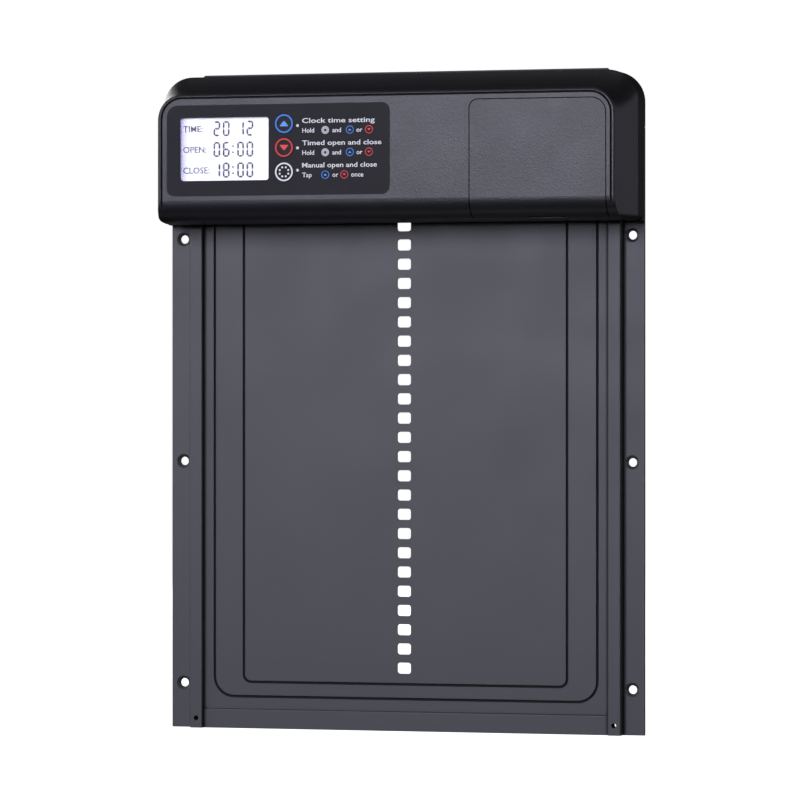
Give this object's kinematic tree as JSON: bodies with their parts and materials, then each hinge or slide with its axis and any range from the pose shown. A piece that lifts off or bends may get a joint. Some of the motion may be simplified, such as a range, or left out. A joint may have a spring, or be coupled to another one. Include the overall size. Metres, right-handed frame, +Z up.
{
  "type": "automatic coop door",
  "caption": "Wall-mounted sheet door that a battery-powered rack and pinion drive raises through a housing with a timer display, keys and battery lid.",
  "frame": {"origin": "centre of the six wall screws, on the wall plane at the back of the rails", "axes": "+Z up along the rails and the door's travel, +Y into the wall, +X to the right seen from the front"},
  "size_m": [0.24, 0.0424, 0.323],
  "materials": {
    "coated_aluminium": "dark grey powder coat",
    "case_plastic": "fine spark-eroded texture, charcoal",
    "label_film": "satin polycarbonate film",
    "display_glass": "clear hard-coated window",
    "display_panel": "backlit liquid crystal",
    "key_plastic": "satin black key caps",
    "inner_plastic": "moulded nylon",
    "gear_plastic": "natural acetal",
    "board_laminate": "green solder mask",
    "steel": "ground steel",
    "zinc_screw": "zinc plated",
    "contact_metal": "nickel plated",
    "brass": "turned brass",
    "plate_metal": "dark coated sheet",
    "lead_insulation": "soft wire insulation",
    "cell_jacket": "printed film sleeve",
    "foam": "closed-cell foam"
  },
  "bodies": {
    "frame": {"left_rail": "coated_aluminium", "right_rail": "coated_aluminium", "sill_bar": "coated_aluminium", "rear_shell": "case_plastic", "back_plate": "plate_metal", "front_cover": "case_plastic", "cover_screws": "zinc_screw", "front_label": "label_film", "display_window": "display_glass", "display_module": "display_panel", "tact_switches": "inner_plastic", "control_board": "board_laminate", "board_standoffs": "brass", "board_screws": "zinc_screw", "board_components": "inner_plastic", "reduction_gearbox": "brass", "motor": "steel", "shaft_bushes": "brass", "gear_bracket": "inner_plastic", "motor_clamp": "inner_plastic", "bracket_screws": "zinc_screw", "clamp_screws": "zinc_screw", "motor_leads": "lead_insulation", "battery_leads": "lead_insulation", "battery_cells": "cell_jacket", "battery_tray": "inner_plastic", "tray_screws": "zinc_screw", "contact_plates": "contact_metal", "contact_springs": "contact_metal"},
    "door": {"door_panel": "coated_aluminium"},
    "cross_shaft": {"drive_shaft": "steel", "shaft_clips": "steel", "rack_pinion": "gear_plastic", "worm_wheel": "gear_plastic"},
    "worm_shaft": {"worm": "brass", "output_shaft": "steel"},
    "lid": {"battery_lid": "case_plastic", "lid_pad": "foam"},
    "up_key": {"button_up": "key_plastic"},
    "down_key": {"button_down": "key_plastic"},
    "set_key": {"button_set": "key_plastic"}
  },
  "joints": [
    {"name": "door_slide", "type": "slide", "parent": "frame", "child": "door", "axis": [0, 0, 1], "range_m": [0, 0.235]},
    {"name": "cross_shaft_turn", "type": "hinge", "parent": "frame", "child": "cross_shaft", "pos_m": [0, -0.01575, 0.14389], "axis": [1, 0, 0], "range_deg": [0, 1122.1]},
    {"name": "worm_turn", "type": "hinge", "parent": "frame", "child": "worm_shaft", "pos_m": [0.022, -0.02775, 0.14389], "axis": [0, 0, 1], "range_deg": [0, 22442]},
    {"name": "lid_hinge", "type": "hinge", "parent": "frame", "child": "lid", "pos_m": [0.0764, -0.042, 0.1743], "axis": [-1, 0, 0], "range_deg": [0, 88]},
    {"name": "up_key_push", "type": "slide", "parent": "frame", "child": "up_key", "axis": [0, 1, 0], "range_m": [0, 0.0005], "stiffness_N_per_m": 800},
    {"name": "down_key_push", "type": "slide", "parent": "frame", "child": "down_key", "axis": [0, 1, 0], "range_m": [0, 0.0005], "stiffness_N_per_m": 800},
    {"name": "set_key_push", "type": "slide", "parent": "frame", "child": "set_key", "axis": [0, 1, 0], "range_m": [0, 0.0005], "stiffness_N_per_m": 800}
  ],
  "couplings": [
    {"joint": "cross_shaft_turn", "follows": "door_slide", "rad_per_m": 83.333},
    {"joint": "worm_turn", "follows": "door_slide", "rad_per_m": 1666.7}
  ]
}
